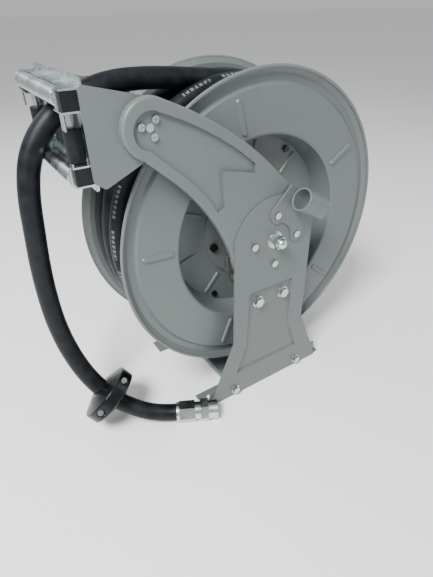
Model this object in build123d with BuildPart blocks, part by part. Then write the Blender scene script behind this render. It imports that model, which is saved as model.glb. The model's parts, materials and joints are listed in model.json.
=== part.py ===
from build123d import *
import math
import os

# Spring-rewind hose reel on two pedestals, with a roller guide on twin arms.
# Frame: the shaft runs along Y, the front of the reel faces -Y, the hose leaves
# over the top towards -X, and +Z is up. The origin is on the floor, in the middle
# of the four floor-bolt holes, straight below the middle of the shaft.

# ---------------------------------------------------------------- driving sizes
SHAFT_Z = 313.0            # height of the shaft above the floor
FLANGE_R = 250.0           # drum flange
FLANGE_Y = 84.2            # outermost plane of each flange's rim, from the middle
FACE_Y = 80.0              # plane of each flange's main face
SHEET = 2.0                # thickness of the pressed drum sheets
MOUTH_R = 157.0            # mouth of the recess in each flange
HUB_Y = 40.0               # plane of each hub plate, at the bottom of the recess
HUB_R = 147.0
CORE_R = 149.2             # sheet ring that the hose is wound on

PLATE_Y = 113.8            # outer face of each pedestal
PLATE = 3.0                # thickness of pedestals, gussets and foot rails
PED_HALF = 79.0            # half width of the pedestal's upright
PED_ARCH = 75.0            # height of its rounded top above the shaft
PED_FOOT_HALF = 131.0
PED_WAIST_Z = 128.0        # where the sides start to flare
ARM_SHEET = 2.5
ARM_DEPTH = 10.0           # depth of the pressed arm
ARM_ANGLE = 135.0          # direction of the arm, from +X
ARM_ROUND_R = 81.0         # round lower end, about the shaft
ARM_TIP_U = 278.0          # centre of the rounded tip, along the arm
ARM_TIP_R = 36.0
ARM_RIM = 14.0             # width of the raised rim round the arm
ARM_PRESS = 5.0            # depth of the pressed web below the rim
ARM_FACE_Y = PLATE_Y - PLATE
ARM_BACK_Y = ARM_FACE_Y - ARM_DEPTH
GUSSET_Y = ARM_BACK_Y - PLATE          # inner face of each gusset

SHAFT_R = 15.0
FIT = 0.05                 # radial clearance of the running fits
BOLT_CIRCLE_R = 43.0       # bolts that clamp pedestal, arm and shaft plate

HOSE_R = 15.0
HOSE_BORE_R = 9.5
TURN_PITCH = 30.2
LAYER_2_R = 192.5          # centreline of the second layer of hose
LAYER_3_R = 219.0
LAYER_3_Y = [0.0, 60.2]     # turns of the third layer; the free end leaves between them

ROLLER_X = -277.5          # upright rollers of the hose guide
BAR_ROLLER_X = -286.0      # level rollers of the hose guide
ROLLER_R = 10.5
BAR_ROLLER_R = 10.0
UPRIGHT_ROLLER_Y = 76.0
TOP_ROLLER_Z = 551.0
LOW_ROLLER_Z = 465.0
BLOCK_X0 = -289.0
BLOCK_X1 = -266.0

RAIL_HALF = 143.0          # half length of each foot rail
RAIL_IN_Y = 76.0           # inner edge of each foot rail
FLOOR_HOLE_X = 122.0
FLOOR_HOLE_Y = 92.0

SHAFT_AXIS = Axis((0, 0, SHAFT_Z), (0, 1, 0))
DIAGONAL = math.sqrt(0.5)
PARTS = "parts"
os.makedirs(PARTS, exist_ok=True)


# -------------------------------------------------------------------- helpers
def front(y, x=0.0, z=SHAFT_Z, turn=0.0):
    """Plane facing the front (-Y) at depth y; local x is +X turned towards +Z."""
    along = (math.cos(math.radians(turn)), 0, math.sin(math.radians(turn)))
    return Plane(origin=(x, y, z), x_dir=along, z_dir=(0, -1, 0))


def shaft_section():
    """Half plane through the shaft: local x is Y, local y is the radius."""
    return Plane(origin=(0, 0, SHAFT_Z), x_dir=(0, 1, 0), z_dir=(1, 0, 0))


def save(shape, name):
    shape.label = name
    export_step(shape, f"{PARTS}/{name}.step")


def ring(name, r_in, r_out, y0, y1):
    """A plain ring round the shaft, from depth y0 to y1 (y0 < y1)."""
    with BuildPart() as made:
        with BuildSketch(front(y1)):
            Circle(r_out)
            Circle(r_in, mode=Mode.SUBTRACT)
        extrude(amount=y1 - y0)
    save(made.part, name)
    return made.part


def hex_bolts(places, flats, head, radius, length, washer=0.0):
    """Hex-head bolts whose heads face the front; places are (x, y, z) under the head."""
    with BuildPart() as made:
        for x, y, z in places:
            with BuildSketch(front(y, x, z)):
                Circle(radius)
            extrude(amount=-length)
            if washer:
                with BuildSketch(front(y, x, z)):
                    Circle(flats * 0.68)
                extrude(amount=washer)
            with BuildSketch(front(y - washer, x, z)):
                RegularPolygon(flats / 2, 6, major_radius=False)
            extrude(amount=head)
    return made.part


def both_sides(part):
    """The part with its mirror image across the middle of the reel."""
    return Compound(children=list(part.solids()) + list(mirror(part, about=Plane.XZ).solids()))


# -------------------------------------------------------------------- pedestals
PANEL = [(-48, -88), (48, -88), (52, -200), (73, -260), (-73, -260), (-52, -200)]
PANEL_DEPTH = 4.0
BRACE_BOLTS = [(-27.5, -112.5), (27.5, -112.5)]
FOOT_BOLTS = [(-76.0, 15.5), (76.0, 15.5)]


def bearing_bolt_places():
    return [(BOLT_CIRCLE_R * math.cos(math.radians(a)), BOLT_CIRCLE_R * math.sin(math.radians(a)))
            for a in range(0, 360, 90)]


with BuildPart() as front_pedestal:
    with BuildSketch(front(-ARM_FACE_Y)):
        with BuildLine():
            arch = EllipticalCenterArc((0, 0), PED_HALF, PED_ARCH, start_angle=0, arc_size=180)
            Polyline(arch @ 1, (-PED_HALF, PED_WAIST_Z - SHAFT_Z), (-PED_FOOT_HALF, 3 - SHAFT_Z),
                     (-PED_FOOT_HALF, -SHAFT_Z), (PED_FOOT_HALF, -SHAFT_Z),
                     (PED_FOOT_HALF, 3 - SHAFT_Z), (PED_HALF, PED_WAIST_Z - SHAFT_Z), arch @ 0)
        make_face()
    extrude(amount=PLATE)
    waist = front_pedestal.edges().filter_by(Axis.Y).group_by(Axis.Z)[2]
    fillet(waist, 25)
    with BuildSketch(front(-ARM_FACE_Y)):
        Polygon(*PANEL, align=None)
        offset(amount=1.5)
    extrude(amount=-PANEL_DEPTH)
    with BuildSketch(front(-PLATE_Y)):
        Polygon(*PANEL, align=None)
    extrude(amount=-PANEL_DEPTH, taper=30, mode=Mode.SUBTRACT)
    with BuildSketch(front(-PLATE_Y)):
        Circle(SHAFT_R + 0.3)
        with Locations(*bearing_bolt_places()):
            Circle(4.2)
        with Locations(*BRACE_BOLTS):
            Circle(5.3)
        with Locations(*[(x, z - SHAFT_Z) for x, z in FOOT_BOLTS]):
            Circle(4.3)
    extrude(amount=-PLATE - PANEL_DEPTH - 1, mode=Mode.SUBTRACT)
save(front_pedestal.part, "front_pedestal")

rear_pedestal = mirror(front_pedestal.part, about=Plane.XZ)
save(rear_pedestal, "rear_pedestal")

BRACE_Y = ARM_FACE_Y - PANEL_DEPTH     # where the brace meets the pressed panel
BRACE_SHEET = 2.5
BRACE_DEPTH = 14.0
BRACE_WIDTH = 82.0
BRACE_HEIGHT = 158.0
BRACE_MIDDLE_Z = 140.0
with BuildPart() as front_brace:
    with BuildSketch(front(-BRACE_Y + BRACE_DEPTH, z=0)):
        with Locations((0, BRACE_MIDDLE_Z)):
            Rectangle(BRACE_WIDTH, BRACE_HEIGHT)
    extrude(amount=BRACE_DEPTH)
    with BuildSketch(front(-BRACE_Y + BRACE_DEPTH, z=0)):
        with Locations((0, BRACE_MIDDLE_Z)):
            Rectangle(BRACE_WIDTH - 2 * BRACE_SHEET, BRACE_HEIGHT + 1)
    extrude(amount=BRACE_DEPTH - BRACE_SHEET, mode=Mode.SUBTRACT)
    with BuildSketch(front(-BRACE_Y)):
        with Locations(*BRACE_BOLTS):
            Circle(5.3)
    extrude(amount=-3, mode=Mode.SUBTRACT)
save(both_sides(front_brace.part), "pedestal_braces")

brace_bolts = hex_bolts([(x, -PLATE_Y + PANEL_DEPTH, SHAFT_Z + z) for x, z in BRACE_BOLTS],
                        flats=16.0, head=6.4, radius=5.0, length=13.0, washer=1.8)
BRACE_NUT = 7.0
with BuildPart() as brace_nuts:
    for x, z in BRACE_BOLTS:
        with BuildSketch(front(-BRACE_Y + BRACE_SHEET + BRACE_NUT, x, SHAFT_Z + z)):
            RegularPolygon(8.0, 6, major_radius=False)
            Circle(5.0, mode=Mode.SUBTRACT)
        extrude(amount=BRACE_NUT)
save(both_sides(brace_bolts), "brace_bolts")
save(both_sides(brace_nuts.part), "brace_nuts")

# ------------------------------------------------------------------- base frame
with BuildPart() as front_foot_rail:
    with BuildSketch(front(-ARM_FACE_Y + PLATE, z=0)):
        with Locations((0, 16)):
            Rectangle(2 * RAIL_HALF - 24, 32)
    extrude(amount=PLATE)
    with BuildSketch(Plane.XY):
        with Locations((0, -(ARM_FACE_Y + RAIL_IN_Y) / 2)):
            Rectangle(2 * RAIL_HALF, ARM_FACE_Y - RAIL_IN_Y)
    extrude(amount=PLATE)
    fillet(front_foot_rail.edges().filter_by(Axis.Z), 1.4)
    with BuildSketch(Plane.XY):
        with Locations((-FLOOR_HOLE_X, -FLOOR_HOLE_Y), (FLOOR_HOLE_X, -FLOOR_HOLE_Y)):
            Circle(5.5)
        with Locations((-60, -FLOOR_HOLE_Y), (60, -FLOOR_HOLE_Y)):
            Circle(4.3)
    extrude(amount=PLATE, mode=Mode.SUBTRACT)
    with BuildSketch(front(-ARM_FACE_Y, z=0)):
        with Locations(*FOOT_BOLTS):
            Circle(4.3)
    extrude(amount=-PLATE, mode=Mode.SUBTRACT)
save(front_foot_rail.part, "front_foot_rail")
save(mirror(front_foot_rail.part, about=Plane.XZ), "rear_foot_rail")

BASE_HALF = 76.0
BASE_TOP = 14.0
BASE_LENGTH = 2 * (ARM_FACE_Y - PLATE - 8.0)
with BuildPart() as base_channel:
    with BuildSketch(Plane.XZ.offset(-BASE_LENGTH / 2)):
        with Locations((0, (PLATE + BASE_TOP) / 2)):
            Rectangle(2 * BASE_HALF, BASE_TOP - PLATE)
    extrude(amount=BASE_LENGTH)
    fillet(base_channel.edges().filter_by(Axis.Y).group_by(Axis.Z)[-1], 3.0)
    with BuildSketch(Plane.XZ.offset(-BASE_LENGTH / 2)):
        with Locations((0, (PLATE + BASE_TOP) / 2 - 1.25)):
            Rectangle(2 * BASE_HALF - 5, BASE_TOP - PLATE - 2.5)
    extrude(amount=BASE_LENGTH, mode=Mode.SUBTRACT)
    with BuildSketch(Plane.XY.offset(BASE_TOP)):
        with GridLocations(120, 2 * FLOOR_HOLE_Y, 2, 2):
            Circle(4.3)
        with Locations((0, 40), (0, -40)):
            SlotOverall(70, 40)
    extrude(amount=-5, mode=Mode.SUBTRACT)
save(base_channel.part, "base_channel")

foot_bolts = hex_bolts([(x, -PLATE_Y, z) for x, z in FOOT_BOLTS],
                       flats=13.0, head=5.3, radius=4.0, length=12.0, washer=1.6)
save(both_sides(foot_bolts), "foot_bolts")
with BuildPart() as base_bolts:
    with BuildSketch(Plane.XY.offset(BASE_TOP)):
        with GridLocations(120, 2 * FLOOR_HOLE_Y, 2, 2):
            RegularPolygon(6.5, 6, major_radius=False)
    extrude(amount=5.3)
    with BuildSketch(Plane.XY.offset(BASE_TOP)):
        with GridLocations(120, 2 * FLOOR_HOLE_Y, 2, 2):
            Circle(4.0)
    extrude(amount=-BASE_TOP + 0.5)
save(base_bolts.part, "base_bolts")

# ------------------------------------------------------- arms, gussets, tie rod
def arm_plane(y):
    """Plane facing the front whose local x runs along the arm, from the shaft."""
    return front(y, turn=ARM_ANGLE)


def arm_outline():
    """Outline of the arm: round about the shaft, waisted, with a rounded tip."""
    with BuildLine() as line:
        upper = Line((0, -ARM_ROUND_R), (76, -79))
        back = ThreePointArc(upper @ 1, (182, -68.5), (287, -36.3))
        tip = ThreePointArc(back @ 1, (ARM_TIP_U + ARM_TIP_R, 0), (262, 32.5))
        waist = Line(tip @ 1, (206, 30))
        belly = ThreePointArc(waist @ 1, (126, 38), (47, 66))
        ThreePointArc(belly @ 1, (-ARM_ROUND_R, 0), upper @ 0)
    return line.line


def web_outline():
    """Outline of the sunken web, with the notch that the raised pad leaves in it."""
    with BuildLine() as line:
        tip = ThreePointArc((283, -22), (ARM_TIP_U + ARM_TIP_R - ARM_RIM, 0), (264, 19))
        waist = Line(tip @ 1, (204, 16))
        belly = ThreePointArc(waist @ 1, (160, 18), (124, 25))
        Polyline(belly @ 1, (120, 14), (161, -23), (113, -53), (122, -62))
        ThreePointArc((122, -62), (204, -49), tip @ 0)
    return line.line


TIP_X = -196.0
TIP_Z = 512.0
TIE_R = 8.0
TIE_PLATE_R = 17.0
TIP_SCREW_R = 11.5
tip_screw_places = [(TIP_X + TIP_SCREW_R * math.cos(math.radians(a)),
                     TIP_Z + TIP_SCREW_R * math.sin(math.radians(a))) for a in (50, 170, 290)]

with BuildPart() as front_arm:
    with BuildSketch(arm_plane(-ARM_BACK_Y)):
        add(arm_outline())
        make_face()
    extrude(amount=ARM_DEPTH)
    fillet(front_arm.faces().sort_by(Axis.Y)[0].edges(), 3.5)
    with BuildSketch(arm_plane(-ARM_BACK_Y)):
        add(arm_outline())
        make_face()
        offset(amount=-ARM_SHEET, mode=Mode.REPLACE)
    extrude(amount=ARM_DEPTH - ARM_SHEET, mode=Mode.SUBTRACT)
    with BuildSketch(arm_plane(-ARM_FACE_Y + ARM_PRESS + ARM_SHEET)):
        add(web_outline())
        make_face()
        offset(amount=ARM_SHEET)
    extrude(amount=ARM_PRESS)
    with BuildSketch(arm_plane(-ARM_FACE_Y)):
        add(web_outline())
        make_face()
    extrude(amount=-ARM_PRESS, mode=Mode.SUBTRACT)
    with BuildSketch(front(-ARM_FACE_Y)):
        Circle(SHAFT_R + 0.3)
        with Locations(*bearing_bolt_places()):
            Circle(4.2)
    extrude(amount=-ARM_DEPTH, mode=Mode.SUBTRACT)
    with BuildSketch(front(-ARM_FACE_Y, z=0)):
        with Locations((TIP_X, TIP_Z)):
            Circle(5.2)
        with Locations(*tip_screw_places):
            Circle(2.7)
    extrude(amount=-ARM_DEPTH, mode=Mode.SUBTRACT)
save(front_arm.part, "front_arm")
save(mirror(front_arm.part, about=Plane.XZ), "rear_arm")

GUSSET_OUTLINE = [(-270, 459), (-270, 564), (-197, 546), (-168, 532), (-176, 486), (-204, 472.5),
                  (-257, 449)]
with BuildPart() as front_gusset:
    with BuildSketch(front(-GUSSET_Y, z=0)):
        Polygon(*GUSSET_OUTLINE, align=None)
        fillet([v for v in vertices() if v.X < -250], 5.0)
        with Locations((TIP_X, TIP_Z)):
            Circle(5.2, mode=Mode.SUBTRACT)
        with Locations(*tip_screw_places):
            Circle(2.7, mode=Mode.SUBTRACT)
    extrude(amount=PLATE)
save(front_gusset.part, "front_gusset")
save(mirror(front_gusset.part, about=Plane.XZ), "rear_gusset")

with BuildPart() as arm_tie_rod:
    with BuildSketch(front(GUSSET_Y, TIP_X, TIP_Z)):
        Circle(TIE_R)
    extrude(amount=2 * GUSSET_Y)
    for y in (GUSSET_Y, -GUSSET_Y + 4.0):
        with BuildSketch(front(y, TIP_X, TIP_Z)):
            Circle(TIE_PLATE_R)
        extrude(amount=4.0)
    with BuildSketch(front(GUSSET_Y + 9.0, TIP_X, TIP_Z)):
        Circle(5.0)
    extrude(amount=2 * GUSSET_Y + 18.0)
    with BuildSketch(front(-GUSSET_Y, z=0)):
        with Locations(*tip_screw_places):
            Circle(2.5)
    extrude(amount=-4.0, mode=Mode.SUBTRACT)
    with BuildSketch(front(GUSSET_Y, z=0)):
        with Locations(*tip_screw_places):
            Circle(2.5)
    extrude(amount=4.0, mode=Mode.SUBTRACT)
save(arm_tie_rod.part, "arm_tie_rod")

WEB_Y = ARM_FACE_Y - ARM_PRESS
with BuildPart() as tip_screws:
    for x, z in tip_screw_places:
        with BuildSketch(front(-WEB_Y, x, z)):
            Circle(4.4)
        extrude(amount=2.8)
        with BuildSketch(front(-WEB_Y - 2.8, x, z)):
            Rectangle(6.5, 1.1)
            Rectangle(1.1, 6.5)
        extrude(amount=-1.6, mode=Mode.SUBTRACT)
        with BuildSketch(front(-WEB_Y, x, z)):
            Circle(2.5)
        extrude(amount=-WEB_Y + GUSSET_Y - 4.0)
save(both_sides(tip_screws.part), "arm_tip_screws")

# ------------------------------------------------------------- shaft and its fixing
SHAFT_PLATE_R = 56.0
SHAFT_BORE_R = 9.5
SHAFT_REAR_Y = 131.0
PORT_Y = 14.0
ACORN_R = 6.0
with BuildPart() as main_shaft:
    with BuildSketch(front(SHAFT_REAR_Y)):
        Circle(SHAFT_R)
    extrude(amount=SHAFT_REAR_Y + PLATE_Y)
    with BuildSketch(front(-PLATE_Y)):
        Circle(ACORN_R)
    extrude(amount=14.0)
    with BuildSketch(front(SHAFT_REAR_Y)):
        Circle(SHAFT_BORE_R)
    extrude(amount=SHAFT_REAR_Y - PORT_Y + 14.0, mode=Mode.SUBTRACT)
    with BuildSketch(Plane.XY.offset(SHAFT_Z)):
        with Locations((0, PORT_Y)):
            Circle(6.0)
    extrude(amount=SHAFT_R + 1, both=True, mode=Mode.SUBTRACT)
save(main_shaft.part, "main_shaft")

with BuildPart() as front_shaft_plate:
    with BuildSketch(front(-ARM_BACK_Y)):
        Circle(SHAFT_PLATE_R)
        Circle(SHAFT_R, mode=Mode.SUBTRACT)
        with Locations(*bearing_bolt_places()):
            Circle(4.0, mode=Mode.SUBTRACT)
    extrude(amount=ARM_DEPTH - ARM_SHEET)
save(both_sides(front_shaft_plate.part), "shaft_plates")

bearing_bolts = hex_bolts([(x, -PLATE_Y, SHAFT_Z + z) for x, z in bearing_bolt_places()],
                          flats=11.0, head=4.4, radius=4.0, length=12.5)
save(both_sides(bearing_bolts), "shaft_plate_bolts")

WASHER = 2.5
with BuildPart() as acorn_nut:
    with BuildSketch(front(-PLATE_Y, 0, SHAFT_Z)):
        Circle(13.0)
        Circle(ACORN_R, mode=Mode.SUBTRACT)
    extrude(amount=WASHER)
    with BuildSketch(front(-PLATE_Y - WASHER)):
        RegularPolygon(9.5, 6, major_radius=False)
        Circle(ACORN_R, mode=Mode.SUBTRACT)
    extrude(amount=12.5)
    with BuildSketch(front(-PLATE_Y - WASHER - 12.5)):
        Circle(8.8)
    extrude(amount=9.0)
    fillet(acorn_nut.edges().filter_by(GeomType.CIRCLE).sort_by(Axis.Y)[0], 8.0)
save(acorn_nut.part, "acorn_nut")

with BuildPart() as shaft_lock_nut:
    with BuildSketch(front(PLATE_Y + 9.0)):
        RegularPolygon(20.5, 6, major_radius=False)
        Circle(SHAFT_R, mode=Mode.SUBTRACT)
    extrude(amount=9.0)
save(shaft_lock_nut.part, "shaft_lock_nut")

# ------------------------------------------------------------------ inlet elbow
ELBOW_R = 20.0
ELBOW_BEND = 26.0
ELBOW_Y = SHAFT_REAR_Y + 1.0 + ELBOW_BEND
INLET_LENGTH = 24.0
with BuildPart() as inlet_elbow:
    with BuildLine() as elbow_path:
        first = Line((0, SHAFT_REAR_Y, SHAFT_Z), (0, SHAFT_REAR_Y + 1.0, SHAFT_Z))
        halfway = (0, ELBOW_Y - ELBOW_BEND * (1 - DIAGONAL), SHAFT_Z - ELBOW_BEND * (1 - DIAGONAL))
        bend = ThreePointArc(first @ 1, halfway, (0, ELBOW_Y, SHAFT_Z - ELBOW_BEND))
        Line(bend @ 1, (0, ELBOW_Y, SHAFT_Z - ELBOW_BEND - INLET_LENGTH))
    with BuildSketch(front(SHAFT_REAR_Y)):
        Circle(16.5)
    sweep(path=elbow_path.line)
    with BuildSketch(front(SHAFT_REAR_Y)):
        RegularPolygon(ELBOW_R, 8, major_radius=False)
        Circle(SHAFT_R, mode=Mode.SUBTRACT)
    extrude(amount=SHAFT_REAR_Y - PLATE_Y - 9.5)
    with BuildSketch(Plane.XY.offset(SHAFT_Z - ELBOW_BEND - INLET_LENGTH)):
        with Locations((0, ELBOW_Y)):
            RegularPolygon(ELBOW_R, 8, major_radius=False)
    extrude(amount=16.0)
    with BuildSketch(front(SHAFT_REAR_Y)):
        Circle(SHAFT_BORE_R)
    sweep(path=elbow_path.line, mode=Mode.SUBTRACT)
    with BuildSketch(Plane.XY.offset(SHAFT_Z - ELBOW_BEND - INLET_LENGTH)):
        with Locations((0, ELBOW_Y)):
            Circle(13.2)
    extrude(amount=15.0, mode=Mode.SUBTRACT)
save(inlet_elbow.part, "inlet_elbow")

# --------------------------------------------------------------- nozzle holder
HOLDER_R = 18.5
HOLDER_WALL = 3.0
HOLDER_LENGTH = 50.0
HOLDER_ANGLE = -30.0
HOLDER_X = 49.5
HOLDER_Z = SHAFT_Z + 57.5
HOLDER_Y = PLATE_Y + PLATE + HOLDER_R


def holder_plane(along):
    """Plane across the holder tube, a distance along it from its middle."""
    a = math.radians(HOLDER_ANGLE)
    return Plane(origin=(HOLDER_X + along * math.cos(a), -HOLDER_Y, HOLDER_Z + along * math.sin(a)),
                 x_dir=(0, 1, 0), z_dir=(math.cos(a), 0, math.sin(a)))


with BuildPart() as nozzle_holder_tube:
    with BuildSketch(holder_plane(-HOLDER_LENGTH / 2)):
        Circle(HOLDER_R)
        Circle(HOLDER_R - HOLDER_WALL, mode=Mode.SUBTRACT)
    extrude(amount=HOLDER_LENGTH)
    fillet(nozzle_holder_tube.edges().filter_by(GeomType.CIRCLE), 0.8)
save(nozzle_holder_tube.part, "nozzle_holder_tube")

with BuildPart() as nozzle_bracket:
    with BuildSketch(front(-PLATE_Y)):
        with BuildLine():
            Polyline((-13, BOLT_CIRCLE_R), (-12, 51), (24, 88), (76, 58), (57, 8), (57, -2))
            right = ThreePointArc((57, -2), (43, -13), (31, -5))
            throat = ThreePointArc(right @ 1, (23, 19), (5, 31))
            ThreePointArc(throat @ 1, (-9, 33), (-13, BOLT_CIRCLE_R))
        make_face()
        with Locations((0, BOLT_CIRCLE_R), (BOLT_CIRCLE_R, 0)):
            Circle(6.6, mode=Mode.SUBTRACT)
    extrude(amount=PLATE)
    with BuildSketch(holder_plane(-HOLDER_LENGTH / 2 + 5)):
        with Locations((HOLDER_R - 3.5, 0)):
            Rectangle(7, 22)
    extrude(amount=HOLDER_LENGTH - 10)
    with BuildSketch(holder_plane(-HOLDER_LENGTH / 2)):
        Circle(HOLDER_R)
    extrude(amount=HOLDER_LENGTH, mode=Mode.SUBTRACT)
save(nozzle_bracket.part, "nozzle_bracket")

# ------------------------------------------------------------ roller hose guide
EAR_Y = 87.0               # inner face of each ear that carries a level roller
EAR = 2.5
LIP_TOP_Z = 570.0
MIDDLE_Z = (TOP_ROLLER_Z + LOW_ROLLER_Z) / 2
BLOCK_TOP_Z = 558.5
BLOCK_LOW_Z = 538.0
BLOCK_X = (BLOCK_X0 + BLOCK_X1) / 2
BLOCK_Y0 = EAR_Y + EAR
BLOCK_Y = (BLOCK_Y0 + GUSSET_Y) / 2
YOKE = 2.0
YOKE_Y0 = 68.0             # inner edge of the yokes that hold the upright rollers
BAR_PIN_R = 4.0
UPRIGHT_PIN_R = 4.5


def flip(part):
    """The part turned over, top to bottom, about the middle of the guide."""
    return mirror(part, about=Plane.XY.offset(MIDDLE_Z))


with BuildPart() as guide_top_bracket:
    with BuildSketch(Plane.XY.offset(BLOCK_TOP_Z)):
        with Locations(((-277.0 + BLOCK_X1) / 2, 0)):
            Rectangle(BLOCK_X1 + 277.0, 2 * GUSSET_Y)
        with Locations((BLOCK_X, -BLOCK_Y), (BLOCK_X, BLOCK_Y)):
            Rectangle(BLOCK_X1 - BLOCK_X0, GUSSET_Y - BLOCK_Y0)
    extrude(amount=2.0)
    with BuildSketch(Plane.YZ.offset(BLOCK_X1)):
        with Locations((0, (LIP_TOP_Z + BLOCK_LOW_Z) / 2)):
            RectangleRounded(2 * GUSSET_Y, LIP_TOP_Z - BLOCK_LOW_Z, 6)
    extrude(amount=2.0)
    for y in (-EAR_Y, EAR_Y + EAR):
        with BuildSketch(front(y, z=0)):
            with Locations(((BLOCK_X1 - 293.0) / 2, (BLOCK_LOW_Z + BLOCK_TOP_Z + 4.0) / 2)):
                RectangleRounded(BLOCK_X1 + 293.0, BLOCK_TOP_Z + 4.0 - BLOCK_LOW_Z, 5)
            with Locations((BAR_ROLLER_X, TOP_ROLLER_Z)):
                Circle(BAR_PIN_R, mode=Mode.SUBTRACT)
        extrude(amount=EAR)
save(guide_top_bracket.part, "guide_top_bracket")
save(flip(guide_top_bracket.part), "guide_bottom_bracket")

with BuildPart() as front_top_block:
    with BuildSketch(Plane.XY.offset(BLOCK_LOW_Z)):
        with Locations((BLOCK_X, -BLOCK_Y)):
            RectangleRounded(BLOCK_X1 - BLOCK_X0, GUSSET_Y - BLOCK_Y0, 1.2)
    extrude(amount=BLOCK_TOP_Z - BLOCK_LOW_Z)
corner_blocks = both_sides(Compound(children=[front_top_block.part, flip(front_top_block.part)]))
save(corner_blocks, "guide_corner_blocks")

YOKE_Y = (YOKE_Y0 + GUSSET_Y) / 2
YOKE_WIDTH = GUSSET_Y - YOKE_Y0
YOKE_X0 = -290.0           # face of the yokes' front legs
LEG = 1.5
LEG_WIDTH = 11.0
LONG_LEG = 19.0
SHORT_LEG = 6.0
FRAME_Z0 = 2 * MIDDLE_Z - BLOCK_LOW_Z
with BuildPart() as front_yoke:
    for z in (BLOCK_LOW_Z - YOKE, FRAME_Z0):
        with BuildSketch(Plane.XY.offset(z)):
            with Locations(((YOKE_X0 + BLOCK_X1) / 2, -YOKE_Y)):
                Rectangle(BLOCK_X1 - YOKE_X0, YOKE_WIDTH)
            with Locations((ROLLER_X, -UPRIGHT_ROLLER_Y)):
                Circle(UPRIGHT_PIN_R, mode=Mode.SUBTRACT)
        extrude(amount=YOKE)
    with BuildSketch(Plane.YZ.offset(BLOCK_X1)):
        with Locations((-YOKE_Y, MIDDLE_Z)):
            Rectangle(YOKE_WIDTH, BLOCK_LOW_Z - FRAME_Z0)
    extrude(amount=2.0)
    with BuildSketch(Plane.YZ.offset(YOKE_X0)):
        with Locations((LEG_WIDTH / 2 - GUSSET_Y, BLOCK_LOW_Z - LONG_LEG / 2)):
            Rectangle(LEG_WIDTH, LONG_LEG)
        with Locations((LEG_WIDTH / 2 - GUSSET_Y, FRAME_Z0 + SHORT_LEG / 2)):
            Rectangle(LEG_WIDTH, SHORT_LEG)
    extrude(amount=LEG)
save(both_sides(front_yoke.part), "guide_side_yokes")

with BuildPart() as level_pins:
    for z in (TOP_ROLLER_Z, LOW_ROLLER_Z):
        with BuildSketch(front(BLOCK_Y0, BAR_ROLLER_X, z)):
            Circle(BAR_PIN_R)
        extrude(amount=2 * BLOCK_Y0)
save(level_pins.part, "level_roller_pins")

with BuildPart() as upright_pins:
    with BuildSketch(Plane.XY.offset(FRAME_Z0 - 2.5)):
        with Locations((ROLLER_X, -UPRIGHT_ROLLER_Y), (ROLLER_X, UPRIGHT_ROLLER_Y)):
            Circle(UPRIGHT_PIN_R)
    extrude(amount=BLOCK_LOW_Z - FRAME_Z0 + 5.0)
save(upright_pins.part, "upright_roller_pins")

for name, z in (("top_roller", TOP_ROLLER_Z), ("bottom_roller", LOW_ROLLER_Z)):
    with BuildPart() as level_roller:
        with BuildSketch(front(EAR_Y - 1.0, BAR_ROLLER_X, z)):
            Circle(BAR_ROLLER_R)
            Circle(BAR_PIN_R + FIT, mode=Mode.SUBTRACT)
        extrude(amount=2 * (EAR_Y - 1.0))
        fillet(level_roller.edges().filter_by(GeomType.CIRCLE).group_by(SortBy.RADIUS)[-1], 1.0)
    save(level_roller.part, name)

UPRIGHT_Z0 = FRAME_Z0 + YOKE + 0.5
UPRIGHT_LENGTH = 38.0
for name, y in (("front_roller", -UPRIGHT_ROLLER_Y), ("rear_roller", UPRIGHT_ROLLER_Y)):
    with BuildPart() as upright_roller:
        with BuildSketch(Plane.XY.offset(UPRIGHT_Z0)):
            with Locations((ROLLER_X, y)):
                Circle(ROLLER_R)
                Circle(UPRIGHT_PIN_R + FIT, mode=Mode.SUBTRACT)
        extrude(amount=UPRIGHT_LENGTH)
        fillet(upright_roller.edges().filter_by(GeomType.CIRCLE).group_by(SortBy.RADIUS)[-1], 1.5)
    save(upright_roller.part, name)

# ------------------------------------------------------------------------- drum
FLANGE_FRONT = [(-HUB_Y, 27.0), (-HUB_Y, HUB_R), (-FACE_Y + 1.5, MOUTH_R), (-FACE_Y, MOUTH_R + 3.0),
                (-FACE_Y, 224.0), (-FACE_Y + 5.0, 229.0), (-FACE_Y + 5.0, 238.0),
                (-FLANGE_Y + 2.0, 247.0)]
FLANGE_BACK = [(-FLANGE_Y + 4.0, 248.5), (-FACE_Y + 5.0 + SHEET, 239.5),
               (-FACE_Y + 5.0 + SHEET, 227.5), (-FACE_Y + SHEET, 222.5),
               (-FACE_Y + SHEET, MOUTH_R + 4.0), (-FACE_Y + 2.5, MOUTH_R + 2.2),
               (-HUB_Y + SHEET, CORE_R), (-HUB_Y + SHEET, 27.0)]
BEAD_ANGLE = 32.0
CORE_BOLT_R = 138.0
CORE_BOLTS = 4
CORE_BOLT_ANGLE = 58.0
HUB_BOLT_R = 78.0
HUB_BOLTS = 6
HUB_BOLT_ANGLE = 15.7
RIM_ROLL_R = 2.6

with BuildPart() as front_flange:
    with BuildSketch(shaft_section()):
        with BuildLine():
            Polyline(*FLANGE_FRONT, *FLANGE_BACK, close=True)
        make_face()
        with Locations((-FLANGE_Y + RIM_ROLL_R, FLANGE_R - RIM_ROLL_R)):
            Circle(RIM_ROLL_R)
    revolve(axis=SHAFT_AXIS)
    with BuildSketch(front(-FACE_Y)):
        with PolarLocations(192.0, 5, start_angle=BEAD_ANGLE):
            SlotOverall(52, 9)
    extrude(amount=2.5, taper=35)
    with BuildSketch(front(-HUB_Y)):
        with PolarLocations(120.5, 10, start_angle=14):
            SlotOverall(44, 7)
    extrude(amount=2.5, taper=35)
    with BuildSketch(front(-HUB_Y)):
        with PolarLocations(CORE_BOLT_R, CORE_BOLTS, start_angle=CORE_BOLT_ANGLE):
            Circle(3.2)
        with PolarLocations(HUB_BOLT_R, HUB_BOLTS, start_angle=HUB_BOLT_ANGLE):
            Circle(4.2)
    extrude(amount=-SHEET, mode=Mode.SUBTRACT)
save(front_flange.part, "front_flange")
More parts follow.
